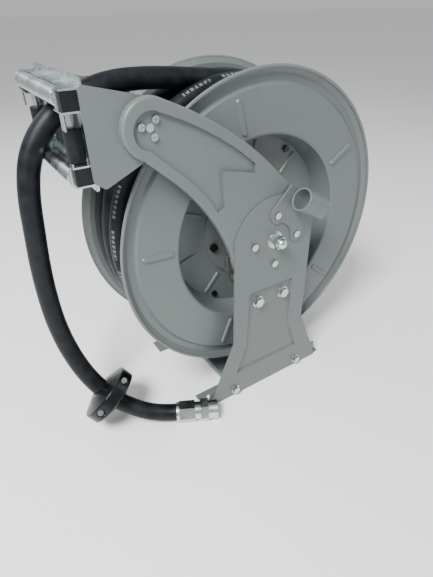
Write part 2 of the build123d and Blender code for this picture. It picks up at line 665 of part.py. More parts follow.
save(mirror(front_flange.part, about=Plane.XZ), "rear_flange")

CORE_HALF = HUB_Y - SHEET
CORE_SHEET = 2.0
CORE_FLANGE = 3.0
CORE_LIP_R = 126.0         # inner edge of the core's inward end flanges
SLOT_R = HOSE_R + 1.5

# hose inlet inside the drum: a pipe goes out from the swivel and turns along the core
RISER_R = 13.0
RISER_BEND = 28.0
RISER_TURN_Z = -88.0
RISER_END = (40.0, RISER_TURN_Z - RISER_BEND)
LAYER_1_R = 165.5
TAIL_BEND = (LAYER_1_R**2 - RISER_END[0]**2 - RISER_END[1]**2) / (2 * (LAYER_1_R + RISER_END[1]))
TAIL_TURN = 70.0
tail_centre = (RISER_END[0], RISER_END[1] + TAIL_BEND)


def port_plane():
    """Plane of the riser and the hose tail, square to the shaft."""
    return front(PORT_Y)


with BuildPart() as hose_inner_tail:
    with BuildLine(port_plane()) as tail_path:
        CenterArc(tail_centre, TAIL_BEND, -90, TAIL_TURN)
    with BuildSketch(Plane(origin=tail_path.line @ 0, z_dir=tail_path.line % 0)):
        Circle(HOSE_R)
        Circle(HOSE_BORE_R, mode=Mode.SUBTRACT)
    sweep(path=tail_path.line)
    with BuildSketch(front(CORE_HALF)):
        Circle(CORE_R + 0.7)
    extrude(amount=2 * CORE_HALF, mode=Mode.INTERSECT)
save(hose_inner_tail.part, "hose_inner_tail")

with BuildPart(mode=Mode.PRIVATE) as tail_slot:
    with BuildSketch(Plane(origin=tail_path.line @ 0, z_dir=tail_path.line % 0)):
        Circle(SLOT_R)
    sweep(path=tail_path.line)

with BuildPart() as drum_core:
    with BuildSketch(shaft_section()):
        with BuildLine():
            Polyline((-CORE_HALF, CORE_R), (CORE_HALF, CORE_R), (CORE_HALF, CORE_LIP_R),
                     (CORE_HALF - CORE_FLANGE, CORE_LIP_R), (CORE_HALF - CORE_FLANGE, CORE_R - CORE_SHEET),
                     (CORE_FLANGE - CORE_HALF, CORE_R - CORE_SHEET), (CORE_FLANGE - CORE_HALF, CORE_LIP_R),
                     (-CORE_HALF, CORE_LIP_R), close=True)
        make_face()
    revolve(axis=SHAFT_AXIS)
    add(tail_slot.part, mode=Mode.SUBTRACT)
    with BuildSketch(front(CORE_HALF)):
        with PolarLocations(CORE_BOLT_R, CORE_BOLTS, start_angle=CORE_BOLT_ANGLE):
            Circle(3.2)
    extrude(amount=2 * CORE_HALF, mode=Mode.SUBTRACT)
save(drum_core.part, "drum_core")


# bolts that hold the core between the hub plates, with a nut behind each
CORE_BOLT_TIP = 30.0       # depth of the rear bolts' tips
CASE_BOLT_TIP = 25.0       # the front bolts also hold the spring case
NUT = 4.6


def bolts_with_nuts(plane_y, radius, count, start, size, flats, head, tip_y, nut):
    """A circle of bolts through the front hub plate, heads outside, with nuts inside."""
    with BuildPart() as made:
        with BuildSketch(front(-plane_y)):
            with PolarLocations(radius, count, start_angle=start):
                RegularPolygon(flats / 2, 6, major_radius=False)
        extrude(amount=head)
        with BuildSketch(front(-plane_y)):
            with PolarLocations(radius, count, start_angle=start):
                Circle(size)
        extrude(amount=tip_y - plane_y)
    with BuildPart() as nuts:
        with BuildSketch(front(-tip_y - 0.4)):
            with PolarLocations(radius, count, start_angle=start):
                RegularPolygon(flats / 2, 6, major_radius=False)
                Circle(size + 0.02, mode=Mode.SUBTRACT)
        extrude(amount=nut)
    return list(made.part.solids()) + list(nuts.part.solids())


core_fastening = dict(radius=CORE_BOLT_R, count=CORE_BOLTS, start=CORE_BOLT_ANGLE, size=3.0,
                      flats=10.0, head=4.0, nut=NUT)
front_core_bolts = bolts_with_nuts(HUB_Y, tip_y=CASE_BOLT_TIP, **core_fastening)
rear_core_bolts = bolts_with_nuts(HUB_Y, tip_y=CORE_BOLT_TIP, **core_fastening)
mirrored = [mirror(solid, about=Plane.XZ) for solid in rear_core_bolts]
save(Compound(children=front_core_bolts + mirrored), "core_bolts")

# ------------------------------------------------------------- hubs and bearings
HUB_SLEEVE_R = 27.0
HUB_FLANGE_R = 90.0
HUB_FLANGE = 4.0
HUB_END_Y = 90.0
HUB_END_R = 34.0
BEARING_Y0 = 36.0
BEARING_Y1 = 62.0
BEARING_R = 20.0
RATCHET_SCREW_R = 26.0

with BuildPart() as front_hub:
    with BuildSketch(shaft_section()):
        with BuildLine():
            Polyline((-BEARING_Y0, BEARING_R), (-BEARING_Y0, HUB_SLEEVE_R),
                     (-HUB_Y, HUB_SLEEVE_R), (-HUB_Y, HUB_FLANGE_R),
                     (-HUB_Y - HUB_FLANGE, HUB_FLANGE_R), (-HUB_Y - HUB_FLANGE, HUB_SLEEVE_R + 5),
                     (-HUB_Y - HUB_FLANGE - 8, HUB_SLEEVE_R), (-HUB_END_Y + 4, HUB_SLEEVE_R),
                     (-HUB_END_Y + 4, HUB_END_R), (-HUB_END_Y, HUB_END_R),
                     (-HUB_END_Y, SHAFT_R + 2), (-BEARING_Y1, SHAFT_R + 2),
                     (-BEARING_Y1, BEARING_R), close=True)
        make_face()
    revolve(axis=SHAFT_AXIS)
    with BuildSketch(front(-HUB_Y)):
        with PolarLocations(HUB_BOLT_R, HUB_BOLTS, start_angle=HUB_BOLT_ANGLE):
            Circle(4.2)
    extrude(amount=HUB_FLANGE, mode=Mode.SUBTRACT)
    with BuildSketch(front(-HUB_END_Y)):
        with PolarLocations(RATCHET_SCREW_R, 4, start_angle=45):
            Circle(2.5)
    extrude(amount=-10.0, mode=Mode.SUBTRACT)
save(front_hub.part, "front_hub")
save(mirror(front_hub.part, about=Plane.XZ), "rear_hub")

hub_bolts = bolts_with_nuts(HUB_Y + HUB_FLANGE, radius=HUB_BOLT_R, count=HUB_BOLTS,
                            start=HUB_BOLT_ANGLE, size=4.0, flats=13.0, head=5.3, tip_y=35.2, nut=2.4)
save(Compound(children=hub_bolts + [mirror(bolt, about=Plane.XZ) for bolt in hub_bolts]), "hub_bolts")

with BuildPart() as front_bearing:
    with BuildSketch(front(-BEARING_Y0)):
        Circle(BEARING_R)
        Circle(SHAFT_R + FIT, mode=Mode.SUBTRACT)
    extrude(amount=BEARING_Y1 - BEARING_Y0)
save(both_sides(front_bearing.part), "shaft_bearings")

# ------------------------------------------------------------- rewind spring
COVER_Y = CORE_HALF - CORE_FLANGE      # outer face of the spring case's cover
CASE_SHEET = 2.5
CASE_R = 146.0
CASE_WALL_R = 119.5
CASE_BOTTOM_Y = 11.0
CASE_HOLE_R = 24.0
COVER_HOLE_R = 28.0
STRIP = 1.2
SPRING_R0 = 20.0
HALF_PITCH = 4.5           # growth of the spring's radius in each half turn
HALF_TURNS = 20

with BuildPart() as spring_cover:
    with BuildSketch(front(-COVER_Y + CASE_SHEET)):
        Circle(CASE_R)
        Circle(COVER_HOLE_R, mode=Mode.SUBTRACT)
        with PolarLocations(CORE_BOLT_R, CORE_BOLTS, start_angle=CORE_BOLT_ANGLE):
            Circle(3.2, mode=Mode.SUBTRACT)
    extrude(amount=CASE_SHEET)
save(spring_cover.part, "spring_cover")

CASE_Y = COVER_Y - CASE_SHEET
with BuildPart() as spring_case:
    with BuildSketch(shaft_section()):
        with BuildLine():
            Polyline((-CASE_Y, CASE_R), (-CASE_Y + CASE_SHEET, CASE_R),
                     (-CASE_Y + CASE_SHEET, CASE_WALL_R), (-CASE_BOTTOM_Y + CASE_SHEET, CASE_WALL_R),
                     (-CASE_BOTTOM_Y + CASE_SHEET, CASE_HOLE_R), (-CASE_BOTTOM_Y, CASE_HOLE_R),
                     (-CASE_BOTTOM_Y, CASE_WALL_R - CASE_SHEET), (-CASE_Y, CASE_WALL_R - CASE_SHEET),
                     close=True)
        make_face()
    revolve(axis=SHAFT_AXIS)
    with BuildSketch(front(-CASE_Y)):
        with PolarLocations(CORE_BOLT_R, CORE_BOLTS, start_angle=CORE_BOLT_ANGLE):
            Circle(3.2)
    extrude(amount=-CASE_SHEET, mode=Mode.SUBTRACT)
save(spring_case.part, "spring_case")

ring("spring_arbor", SHAFT_R, SPRING_R0 - 1.0, -CASE_Y + 0.5, -CASE_BOTTOM_Y - 0.5)

with BuildPart() as power_spring:
    with BuildSketch(front(-CASE_BOTTOM_Y - 1.0)):
        for half in range(HALF_TURNS):
            radius = SPRING_R0 + HALF_PITCH * half
            centre = (HALF_PITCH * (half % 2), 0)
            start = 180 * (half % 2)
            with BuildLine():
                outer = CenterArc(centre, radius + STRIP / 2, start, 180)
                inner = CenterArc(centre, radius - STRIP / 2, start, 180)
                Line(outer @ 0, inner @ 0)
                Line(outer @ 1, inner @ 1)
            make_face()
        end_r = SPRING_R0 + HALF_PITCH * HALF_TURNS
        anchor_length = CASE_WALL_R - CASE_SHEET - end_r + STRIP / 2 - 0.1
        with Locations((end_r - STRIP / 2 + anchor_length / 2, -STRIP / 2)):
            Rectangle(anchor_length, STRIP)
    extrude(amount=CASE_Y - CASE_BOTTOM_Y - 2.0)
save(power_spring.part, "power_spring")

# ------------------------------------------------------------- ratchet and pawl
RATCHET_R = 70.0
RATCHET_Y = 96.0
TEETH = 12
TOOTH_ROOT_R = 61.0
PIVOT = (-62.0, -62.0)     # the pawl's pivot, from the shaft
PAWL_PIN_R = 5.0


def polar(radius, angle):
    return (radius * math.cos(math.radians(angle)), radius * math.sin(math.radians(angle)))


with BuildPart() as ratchet_wheel:
    with BuildSketch(front(-HUB_END_Y)):
        Circle(RATCHET_R)
        Circle(SHAFT_R + 2, mode=Mode.SUBTRACT)
        with PolarLocations(RATCHET_SCREW_R, 4, start_angle=45):
            Circle(2.6, mode=Mode.SUBTRACT)
        for tooth in range(TEETH):
            turn = 360 / TEETH * tooth
            Polygon(polar(RATCHET_R + 1, 184 + turn), polar(TOOTH_ROOT_R, 190 + turn),
                    polar(TOOTH_ROOT_R, 200.5 + turn), polar(RATCHET_R + 1, 200.5 + turn),
                    align=None, mode=Mode.SUBTRACT)
    extrude(amount=RATCHET_Y - HUB_END_Y)
save(ratchet_wheel.part, "ratchet_wheel")

with BuildPart() as ratchet_screws:
    with BuildSketch(front(-RATCHET_Y)):
        with PolarLocations(RATCHET_SCREW_R, 4, start_angle=45):
            Circle(4.6)
    extrude(amount=2.8)
    with BuildSketch(front(-RATCHET_Y)):
        with PolarLocations(RATCHET_SCREW_R, 4, start_angle=45):
            Circle(2.5)
    extrude(amount=HUB_END_Y - RATCHET_Y - 9.0)
save(ratchet_screws.part, "ratchet_screws")

PAWL_OUTLINE = [(-71, -62), (-84, -36), (-84, -20), (-79, -13), (-71.5, -14), (-71, -21),
                (-76, -24), (-76, -34), (-66, -53.5), (-58, -62)]
with BuildPart() as pawl:
    with BuildSketch(front(-HUB_END_Y)):
        Polygon(*PAWL_OUTLINE, align=None)
        with Locations(PIVOT):
            Circle(9.0)
            Circle(PAWL_PIN_R + FIT, mode=Mode.SUBTRACT)
    extrude(amount=RATCHET_Y - HUB_END_Y)
save(pawl.part, "pawl")

with BuildPart() as pawl_pin:
    with BuildSketch(front(-HUB_END_Y + 2.0, PIVOT[0], SHAFT_Z + PIVOT[1])):
        Circle(PAWL_PIN_R)
    extrude(amount=ARM_FACE_Y - HUB_END_Y + 2.0)
save(pawl_pin.part, "pawl_pin")

PAWL_SPRING_R = 5.9
WIRE_R = 0.55
with BuildPart() as pawl_spring:
    with BuildLine():
        coil = Helix(pitch=1.6, height=9.0, radius=PAWL_SPRING_R, direction=(0, -1, 0),
                     center=(PIVOT[0], -RATCHET_Y - 1.0, SHAFT_Z + PIVOT[1]))
    with BuildSketch(Plane(origin=coil @ 0, z_dir=coil % 0)):
        Circle(WIRE_R)
    sweep(path=coil)
save(pawl_spring.part, "pawl_spring")

# ------------------------------------------------------ water swivel and riser
SWIVEL_HALF = 18.0
SWIVEL_R = 30.0
SEAL_OFFSET = 10.0
SEAL_R = 16.9
SEAL_WIRE_R = 1.65
GROOVE_R = 18.7            # bottom of the seal grooves
SEAL_WIDTH = 4.0
PORT_WIDTH = 9.0
RISER_START = 27.0
RISER_BORE_R = 9.5

with BuildPart() as swivel_sleeve:
    with BuildSketch(front(PORT_Y + SWIVEL_HALF)):
        Circle(SWIVEL_R)
        Circle(SHAFT_R + FIT, mode=Mode.SUBTRACT)
    extrude(amount=2 * SWIVEL_HALF)
    with BuildSketch(shaft_section()):
        for depth, width in ((-SEAL_OFFSET, SEAL_WIDTH), (0, PORT_WIDTH), (SEAL_OFFSET, SEAL_WIDTH)):
            with Locations((PORT_Y + depth, (SHAFT_R + GROOVE_R) / 2)):
                Rectangle(width, GROOVE_R - SHAFT_R)
    revolve(axis=SHAFT_AXIS, mode=Mode.SUBTRACT)
    with BuildSketch(Plane.XY.offset(SHAFT_Z)):
        with Locations((0, PORT_Y)):
            Circle(RISER_BORE_R)
    extrude(amount=-SWIVEL_R - 1, mode=Mode.SUBTRACT)
    with BuildSketch(Plane.XY.offset(SHAFT_Z - RISER_START)):
        with Locations((0, PORT_Y)):
            Circle(RISER_R)
    extrude(amount=-SWIVEL_R, mode=Mode.SUBTRACT)
save(swivel_sleeve.part, "swivel_sleeve")

with BuildPart() as swivel_seals:
    with BuildSketch(shaft_section()):
        with Locations((PORT_Y - SEAL_OFFSET, SEAL_R), (PORT_Y + SEAL_OFFSET, SEAL_R)):
            Circle(SEAL_WIRE_R)
    revolve(axis=SHAFT_AXIS)
save(swivel_seals.part, "swivel_seals")

with BuildPart() as riser_pipe:
    with BuildLine(port_plane()) as riser_path:
        Line((0, -RISER_START), (0, RISER_TURN_Z))
        CenterArc((RISER_BEND, RISER_TURN_Z), RISER_BEND, 180, 90)
        Line((RISER_BEND, RISER_TURN_Z - RISER_BEND), RISER_END)
    with BuildSketch(Plane(origin=(0, PORT_Y, SHAFT_Z - RISER_START), z_dir=(0, 0, -1))):
        Circle(RISER_R)
        Circle(RISER_BORE_R, mode=Mode.SUBTRACT)
    sweep(path=riser_path.line)
save(riser_pipe.part, "riser_pipe")

# ------------------------------------------------------------------ wound hose
WINDING_HALF = 75.0
LAYER_1_TOP = 180.0
CORE_GAP = 1.0             # between the core sheet and the hose
CORNER_R = 161.0           # inner radius of the winding at each flange
LAYER_2_Y = [TURN_PITCH * turn for turn in (-1.5, -0.5, 0.5, 1.5)]
FILL = 14.0                # width of the fill between turns that touch
with BuildPart() as hose_winding:
    with BuildSketch(shaft_section()):
        with BuildLine():
            Polyline((-WINDING_HALF - 1, CORNER_R), (-HUB_Y, CORE_R + CORE_GAP),
                     (HUB_Y, CORE_R + CORE_GAP), (WINDING_HALF + 1, CORNER_R),
                     (WINDING_HALF, LAYER_1_TOP), (-WINDING_HALF, LAYER_1_TOP), close=True)
        make_face()
        with Locations(*[(y, LAYER_2_R) for y in LAYER_2_Y], *[(y, LAYER_3_R) for y in LAYER_3_Y]):
            Circle(HOSE_R)
        for y in LAYER_3_Y:
            with Locations((y, (LAYER_1_TOP + LAYER_3_R) / 2)):
                Rectangle(FILL, LAYER_3_R - LAYER_1_TOP + 2)
        with Locations((-TURN_PITCH, LAYER_1_TOP), (TURN_PITCH, LAYER_1_TOP)):
            Rectangle(FILL, FILL)
    revolve(axis=SHAFT_AXIS)
save(hose_winding.part, "hose_winding")

# ------------------------------------------------- free end of the hose, by hand
STRAND = [(23, 30.1, 530.8), (-58, 30, 539.3), (-132, 29.7, 546.5), (-192, 29.3, 546),
          (-244, 29, 530), (-285, 28.5, 503), (-313, 27, 466), (-326, 25.7, 418),
          (-331.5, 25.3, 363), (-336.5, 24.5, 314), (-339, 22, 261.5), (-338.5, 16.5, 209.5),
          (-333, 6.5, 162), (-321.5, -9, 115.5), (-304.5, -28.5, 79), (-282, -50, 51),
          (-257, -69, 33.5), (-233, -84.5, 23), (-206, -98.15, 18.2), (-197, -102.8, 18.2)]
CORNER_SHARE = 0.45        # part of each run that a rounded corner may take


def corner_radii(points):
    """Radius at each corner, as large as its runs allow; an end run has one corner only."""
    places = [Vector(*point) for point in points]
    runs = [after - before for before, after in zip(places, places[1:])]
    room = [run.length for run in runs]
    room[0] *= 2
    room[-1] *= 2
    radii = []
    for index in range(1, len(runs)):
        half_turn = math.radians(runs[index - 1].get_angle(runs[index])) / 2
        radii.append(CORNER_SHARE * min(room[index - 1], room[index]) / math.tan(half_turn))
    return radii


strand_radii = corner_radii(STRAND)
with BuildPart() as hose_strand:
    with BuildLine() as strand_path:
        FilletPolyline(*STRAND, radius=strand_radii)
    with BuildSketch(Plane(origin=strand_path.line @ 0, z_dir=strand_path.line % 0)):
        Circle(HOSE_R)
        Circle(HOSE_BORE_R, mode=Mode.SUBTRACT)
    sweep(path=strand_path.line)
save(hose_strand.part, "hose_strand")
strand_length = sum(edge.length for edge in strand_path.edges())
wall_section = math.pi * (HOSE_R**2 - HOSE_BORE_R**2)
print("hose strand radii", [round(radius) for radius in strand_radii])
print("hose strand length", round(strand_length, 1), "volume", round(hose_strand.part.volume),
      "section x length", round(wall_section * strand_length))

# ------------------------------------------------------------ stop on the hose
STOP_RUN = 14              # the run of the strand that the stop sits on
STOP_R = 50.0
STOP_RIM_HALF = 10.5       # half the width of its rim
STOP_HUB_R = 21.0
STOP_HUB_HALF = 21.0       # half the width of its hub
STOP_GRIP_R = HOSE_R + 0.3
STOP_SPLIT = 0.5           # half the gap between the two halves
STOP_SCREW_OFFSET = 32.0
STOP_SEAT = 26.0           # height of the screw seats above the split
STOP_SEAT_R = 6.5
SCREW_WAY = Vector(-0.14, -0.70, 0.70)
run_start = Vector(*STRAND[STOP_RUN])
run_end = Vector(*STRAND[STOP_RUN + 1])
stop_axis = (run_end - run_start).normalized()
stop_centre = (run_start + run_end) / 2
stop_side = SCREW_WAY.cross(stop_axis).normalized()
stop_section = Plane(origin=stop_centre, x_dir=stop_axis, z_dir=stop_side)
stop_split = Plane(origin=stop_centre, x_dir=stop_side, z_dir=stop_axis.cross(stop_side))
screw_places = [(-STOP_SCREW_OFFSET, 0), (STOP_SCREW_OFFSET, 0)]

with BuildPart() as hose_stop:
    with BuildSketch(stop_section):
        with BuildLine():
            Polyline((-STOP_HUB_HALF, STOP_GRIP_R), (-STOP_HUB_HALF, STOP_HUB_R),
                     (-STOP_RIM_HALF, STOP_R), (STOP_RIM_HALF, STOP_R),
                     (STOP_HUB_HALF, STOP_HUB_R), (STOP_HUB_HALF, STOP_GRIP_R), close=True)
        make_face()
    revolve(axis=Axis(stop_centre, stop_axis))
    fillet(hose_stop.edges().filter_by(GeomType.CIRCLE).group_by(SortBy.RADIUS)[-1], 2.5)
    with BuildSketch(stop_split.offset(-STOP_SPLIT)):
        Rectangle(2 * STOP_R + 2, 2 * STOP_R + 2)
    extrude(amount=2 * STOP_SPLIT, mode=Mode.SUBTRACT)
    with BuildSketch(stop_split.offset(-STOP_R)):
        with Locations(*screw_places):
            Circle(3.1)
    extrude(amount=2 * STOP_R, mode=Mode.SUBTRACT)
    for side in (-1, 1):
        with BuildSketch(stop_split.offset(STOP_SEAT * side)):
            with Locations(*screw_places):
                Circle(STOP_SEAT_R)
        extrude(amount=STOP_R * side, mode=Mode.SUBTRACT)
save(hose_stop.part, "hose_stop")

STOP_NUT = 5.0
with BuildPart() as hose_stop_screws:
    with BuildSketch(stop_split.offset(-STOP_SEAT - STOP_NUT)):
        with Locations(*screw_places):
            Circle(3.0)
    extrude(amount=2 * STOP_SEAT + STOP_NUT)
    with BuildSketch(stop_split.offset(STOP_SEAT)):
        with Locations(*screw_places):
            Circle(5.0)
    extrude(amount=6.0)
    with BuildSketch(stop_split.offset(-STOP_SEAT - STOP_NUT)):
        with Locations(*screw_places):
            RegularPolygon(5.0, 6, major_radius=False)
    extrude(amount=STOP_NUT)
save(hose_stop_screws.part, "hose_stop_screws")

# ------------------------------------------------------------ hose end fitting
THREAD_R = 16.625
COLLAR_R = 17.8
COLLAR_LENGTH = 5.0
NECK_R = 16.0
HEX_HALF = 17.0            # half the width across flats of the long hexagon
NUT_HALF = 18.0            # and of the nut
NECK_LENGTH = 10.0
HEX_LENGTH = 28.0
NUT_LENGTH = 14.0
THREAD_LENGTH = 17.0


def fitting_plane(along):
    """Plane across the fitting, a distance along it from the end of the hose."""
    way = (Vector(*STRAND[-1]) - Vector(*STRAND[-2])).normalized()
    return Plane(origin=Vector(*STRAND[-1]) + way * along, x_dir=way.cross(Vector(0, 0, 1)), z_dir=way)


with BuildPart() as end_fitting:
    reach = 0.0
    for across, length, hexagonal in ((COLLAR_R, COLLAR_LENGTH, False), (HEX_HALF, HEX_LENGTH, True),
                                      (NECK_R, NECK_LENGTH, False), (NUT_HALF, NUT_LENGTH, True),
                                      (THREAD_R, THREAD_LENGTH, False)):
        with BuildSketch(fitting_plane(reach)):
            if hexagonal:
                RegularPolygon(across, 6, major_radius=False)
            else:
                Circle(across)
        extrude(amount=length)
        reach += length
    with BuildSketch(fitting_plane(0)):
        Circle(HOSE_BORE_R)
    extrude(amount=reach, mode=Mode.SUBTRACT)
save(end_fitting.part, "end_fitting")
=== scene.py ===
import json
import math
import random

import bpy
from mathutils import Matrix, Vector


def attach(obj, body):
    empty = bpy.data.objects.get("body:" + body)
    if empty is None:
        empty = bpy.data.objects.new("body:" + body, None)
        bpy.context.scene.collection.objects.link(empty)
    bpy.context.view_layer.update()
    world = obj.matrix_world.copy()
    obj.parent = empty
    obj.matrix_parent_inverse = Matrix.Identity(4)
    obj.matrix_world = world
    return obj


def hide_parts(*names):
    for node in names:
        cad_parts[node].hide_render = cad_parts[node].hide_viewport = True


# Looks of the spring-rewind hose reel. Everything is in metres, in the frame of the
# CAD model: the shaft lies along Y, the front faces -Y and the hose leaves towards -X.

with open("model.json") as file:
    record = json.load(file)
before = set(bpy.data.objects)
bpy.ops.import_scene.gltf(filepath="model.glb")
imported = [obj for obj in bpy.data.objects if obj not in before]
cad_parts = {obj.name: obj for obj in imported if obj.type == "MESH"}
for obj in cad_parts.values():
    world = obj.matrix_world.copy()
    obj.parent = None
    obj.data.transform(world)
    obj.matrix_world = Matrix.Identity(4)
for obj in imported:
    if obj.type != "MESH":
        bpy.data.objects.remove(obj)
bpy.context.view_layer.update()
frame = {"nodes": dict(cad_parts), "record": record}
nodes = frame["nodes"]
rng = random.Random(7)

SHAFT_Z = 0.313

# Hose.
HOSE_R = 0.015
HOSE_SIDES = 24            # flats round the drawn hose
DASH_PITCH = 0.0075        # from one printed dash to the next
BEVEL_RESOLUTION = 8
CURVE_RESOLUTION = 16

# Winding on the drum.
TURN_PITCH = 0.0302
GROOVE_Y = 0.0301          # groove of the last turn and the free end
REAR_Y = 0.0602            # outermost turns, against the flanges
LAYER_1_R = 0.1655
LAYER_2_R = 0.1925
LAYER_3_R = 0.219
TURN_STEPS = 180
WANDER = 0.0004            # how far a turn strays from its circle
WANDER_WAVES = 3
SQUEEZED_RADIUS = 0.1683   # outer turns of layer 1, where the flanges slope into the core
SQUEEZED_HOSE_R = 0.013

# Last turn, on its way to the free end. Angles are about the shaft.
LAST_START = math.radians(-268)
CROSS_START = math.radians(-250)
CROSS_END = math.radians(-195)
CROSS_LIFT = 0.0035
LAST_STEPS = 210

# Route of the free end of the hose, from the winding to the end fitting.
STRAND = [(0.023, 0.0301, 0.5308), (-0.058, 0.03, 0.5393), (-0.132, 0.0297, 0.5465),
          (-0.192, 0.0293, 0.546), (-0.244, 0.029, 0.53), (-0.285, 0.0285, 0.503),
          (-0.313, 0.027, 0.466), (-0.326, 0.0257, 0.418), (-0.3315, 0.0253, 0.363),
          (-0.3365, 0.0245, 0.314), (-0.339, 0.022, 0.2615), (-0.3385, 0.0165, 0.2095),
          (-0.333, 0.0065, 0.162), (-0.3215, -0.009, 0.1155), (-0.3045, -0.0285, 0.079),
          (-0.282, -0.05, 0.051), (-0.257, -0.069, 0.0335), (-0.233, -0.0845, 0.023),
          (-0.206, -0.09815, 0.0182), (-0.197, -0.1028, 0.0182)]

# Print on the wound hose, as shares of the hose's own U and V.
PRINT_V = 0.417            # about 30 degrees from outward, towards the front
PRINT_HALF_WIDTH = 0.030
DASH_SHARE = 0.66
GROUPS_PER_DASH = 0.115
GROUP_SHARE = 0.72
WORN_BELOW = 0.42

# Colours, linear RGB.
PAINT = (0.115, 0.134, 0.134)
ZINC = (0.58, 0.65, 0.66)
STEEL = (0.46, 0.46, 0.46)
BRIGHT_STEEL = (0.56, 0.60, 0.60)
# Steel much darker than the bright fasteners, for the bolts that show dark; the code only makes
# it darker.
DARK_BOLT_STEEL = (0.060, 0.062, 0.066)
CHROME = (0.60, 0.67, 0.66)
BRONZE = (0.62, 0.46, 0.22)
NYLON = (0.004, 0.006, 0.009)
STOP_RUBBER = (0.004, 0.005, 0.006)
HOSE_CLEAN = (0.003, 0.004, 0.006)
HOSE_DUSTY = (0.010, 0.014, 0.018)
PRINT_GREY = (0.13, 0.14, 0.15)
GRIME_NONE = (0, 0, 0)
GRIME_MOST = (0.35, 0.35, 0.35)
FLOOR_DARK = (0.93, 0.93, 0.93)
FLOOR_LIGHT = (0.95, 0.95, 0.95)
WORLD_COLOUR = (0.97, 0.98, 1.0, 1.0)
KEY_COLOUR = (1.0, 0.99, 0.97)
SIDE_COLOUR = (0.96, 0.98, 1.0)
BACK_COLOUR = (1.0, 1.0, 1.0)

# Camera and studio.
CAMERA_PLACE = (-0.4064, -0.5747, 0.6271)
YAW = math.radians(32.396)
PITCH = math.radians(33.790)
ROLL = math.radians(1.090)
LENS = 26.26
SENSOR_WIDTH = 36.0
CLIP_START = 0.02
LIGHT_TARGET = (0, 0, 0.3)
WORLD_STRENGTH = 0.55
FLOOR_HALF = 60
FLOOR_DROP = 0.0002


# ------------------------------------------------------------------- materials
class Shader:
    """A small helper that lays out the nodes of one material."""

    def __init__(self, name, roughness, metallic=0.0, specular=0.5, coat=0.0, coat_roughness=0.1):
        self.material = bpy.data.materials.new(name)
        self.material.use_nodes = True
        self.tree = self.material.node_tree
        self.surface = self.tree.nodes["Principled BSDF"]
        self.surface.inputs["Roughness"].default_value = roughness
        self.surface.inputs["Metallic"].default_value = metallic
        self.surface.inputs["Specular IOR Level"].default_value = specular
        self.surface.inputs["Coat Weight"].default_value = coat
        self.surface.inputs["Coat Roughness"].default_value = coat_roughness
        self.place = self.add("ShaderNodeTexCoord").outputs["Object"]

    def add(self, kind, **settings):
        node = self.tree.nodes.new(kind)
        for name, value in settings.items():
            setattr(node, name, value)
        return node

    def link(self, source, target):
        self.tree.links.new(source, target)

    def noise(self, scale, detail, stretch=(1, 1, 1)):
        mapping = self.add("ShaderNodeMapping")
        mapping.inputs["Scale"].default_value = stretch
        texture = self.add("ShaderNodeTexNoise")
        texture.inputs["Scale"].default_value = scale
        texture.inputs["Detail"].default_value = detail
        self.link(self.place, mapping.inputs["Vector"])
        self.link(mapping.outputs["Vector"], texture.inputs["Vector"])
        return texture.outputs["Fac"]

    def ramp(self, value, low, high):
        """A two-colour ramp; low and high are each (position, colour)."""
        node = self.add("ShaderNodeValToRGB")
        for element, (position, colour) in zip(node.color_ramp.elements, (low, high)):
            element.position = position
            element.color = (*colour, 1.0)
        self.link(value, node.inputs["Fac"])
        return node.outputs["Color"]

    def spread(self, value, low, high):
        """The middle of a noise, stretched from low to high."""
        node = self.add("ShaderNodeMapRange")
        node.inputs["From Min"].default_value = 0.3
        node.inputs["From Max"].default_value = 0.7
        node.inputs["To Min"].default_value = low
        node.inputs["To Max"].default_value = high
        self.link(value, node.inputs["Value"])
        return node.outputs["Result"]

    def math(self, operation, first, second=0.0):
        node = self.add("ShaderNodeMath", operation=operation)
        for socket, value in zip(node.inputs, (first, second)):
            if isinstance(value, (int, float)):
                socket.default_value = value
            else:
                self.link(value, socket)
        return node.outputs[0]

    def product(self, *values):
        result = values[0]
        for value in values[1:]:
            result = self.math("MULTIPLY", result, value)
        return result

    def mix(self, factor, first, second):
        node = self.add("ShaderNodeMix", data_type="RGBA")
        self.link(factor, node.inputs[0])
        for socket, value in ((node.inputs[6], first), (node.inputs[7], second)):
            if isinstance(value, tuple):
                socket.default_value = (*value, 1.0)
            else:
                self.link(value, socket)
        return node.outputs[2]

    def colour(self, value):
        self.link(value, self.surface.inputs["Base Color"])

    def roughness(self, value):
        self.link(value, self.surface.inputs["Roughness"])

    def bump(self, height, strength, distance):
        node = self.add("ShaderNodeBump")
        node.inputs["Strength"].default_value = strength
        node.inputs["Distance"].default_value = distance
        self.link(height, node.inputs["Height"])
        self.link(node.outputs["Normal"], self.surface.inputs["Normal"])


def scaled(colour, factor):
    return tuple(min(1.0, channel * factor) for channel in colour)


def floor_white():
    shader = Shader("floor_white", roughness=0.85, specular=0.2)
    cloud = shader.noise(scale=2.0, detail=2.0)
    shader.colour(shader.ramp(cloud, (0.3, FLOOR_DARK), (0.7, FLOOR_LIGHT)))
    return shader.material


def paint(name, colour):
    """Semi-gloss powder coat: faint orange peel, slow colour drift and a little grime."""
    shader = Shader(name, roughness=0.38, specular=0.4, coat=0.10, coat_roughness=0.25)
    slow = shader.noise(scale=6.0, detail=3.0)
    drift = shader.ramp(slow, (0.3, scaled(colour, 0.94)), (0.7, scaled(colour, 1.05)))
    specks = shader.noise(scale=38.0, detail=8.0)
    grime = shader.ramp(specks, (0.60, GRIME_NONE), (0.78, GRIME_MOST))
    shader.colour(shader.mix(grime, drift, scaled(colour, 0.72)))
    shader.roughness(shader.spread(shader.noise(scale=24.0, detail=5.0), low=0.32, high=0.48))
    shader.bump(shader.noise(scale=620.0, detail=2.0), strength=0.10, distance=0.0004)
    return shader.material


